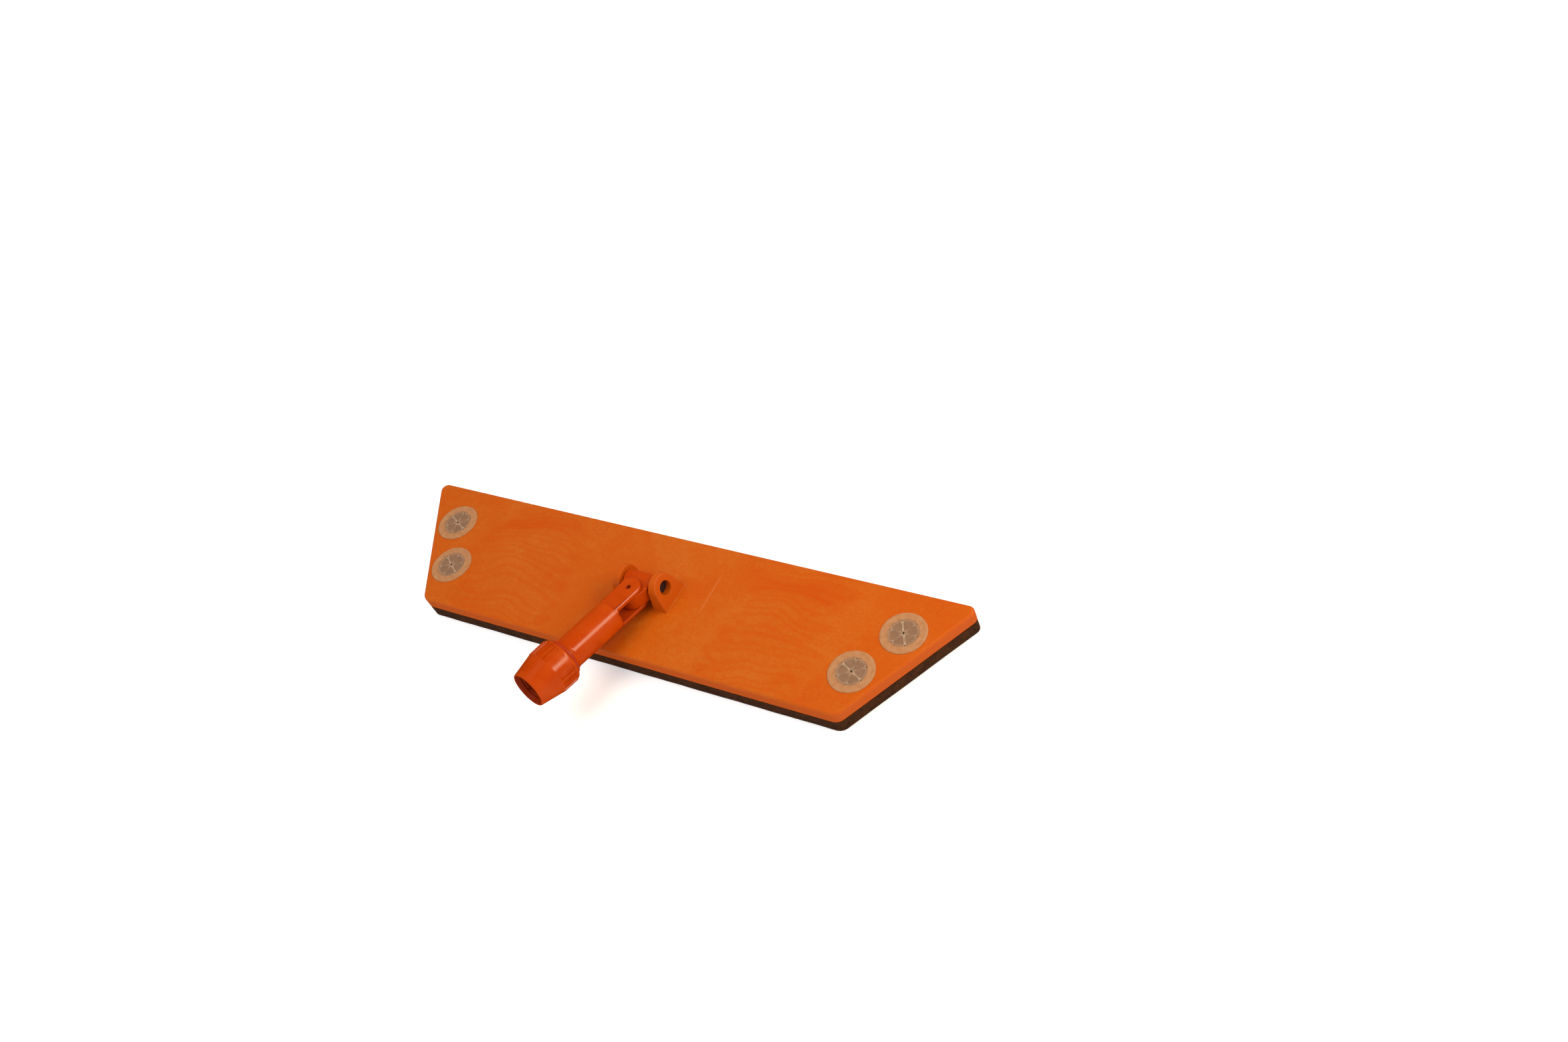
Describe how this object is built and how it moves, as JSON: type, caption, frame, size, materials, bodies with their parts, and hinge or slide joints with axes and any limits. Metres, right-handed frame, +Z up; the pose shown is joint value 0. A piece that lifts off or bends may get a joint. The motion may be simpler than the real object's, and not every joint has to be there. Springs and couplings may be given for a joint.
{
  "type": "flat mop frame",
  "caption": "Trapezoid flat mop frame with a foam pad, slit rubber cloth grips, a two-axis joint and a clamping handle socket with a ribbed lock nut.",
  "frame": {"origin": "centre of the foam pad's flat underside, midway between the front and rear edges", "axes": "+X along the long edge to the right, +Y towards the long rear edge, +Z up from the floor; the handle socket leans forward over the short front edge"},
  "size_m": [0.5906, 0.2075, 0.0786],
  "materials": {
    "orange_deck": "injection-moulded polypropylene, satin with faint flow marks",
    "orange_joint": "injection-moulded polypropylene, semi-gloss",
    "ring_red": "moulded polypropylene, semi-gloss",
    "pin_black": "black nylon",
    "pin_steel": "drawn steel",
    "grip_rubber": "milky translucent elastomer",
    "foam_dark": "closed-cell foam, matt"
  },
  "bodies": {
    "base": {"base_plate": "orange_deck", "foam_pad": "foam_dark", "cloth_grip_front_left": "grip_rubber", "cloth_grip_front_right": "grip_rubber", "cloth_grip_rear_left": "grip_rubber", "cloth_grip_rear_right": "grip_rubber", "pivot_pin": "pin_black"},
    "cross": {"cross_piece": "orange_joint"},
    "socket": {"handle_socket": "orange_joint", "fork_pin": "pin_steel"},
    "ring": {"slip_ring": "ring_red"},
    "nut": {"lock_nut": "orange_joint"}
  },
  "joints": [
    {"name": "cross_tilt", "type": "hinge", "parent": "base", "child": "cross", "pos_m": [0, 0.0015, 0.0409], "axis": [1, 0, 0], "range_deg": [-165, 2]},
    {"name": "socket_swing", "type": "hinge", "parent": "cross", "child": "socket", "pos_m": [0, -0.01585, 0.04322], "axis": [0, 0.1326, 0.9912], "range_deg": [-36, 60]},
    {"name": "nut_travel", "type": "slide", "parent": "socket", "child": "ring", "axis": [-0.2132, -0.9684, 0.1296], "range_m": [0, 0.0042]},
    {"name": "nut_turn", "type": "hinge", "parent": "ring", "child": "nut", "pos_m": [-0.01814, -0.09825, 0.05425], "axis": [-0.2132, -0.9684, 0.1296], "range_deg": [0, 360]}
  ],
  "couplings": [
    {"joint": "nut_travel", "follows": "nut_turn", "m_per_rad": 0.00063662}
  ]
}
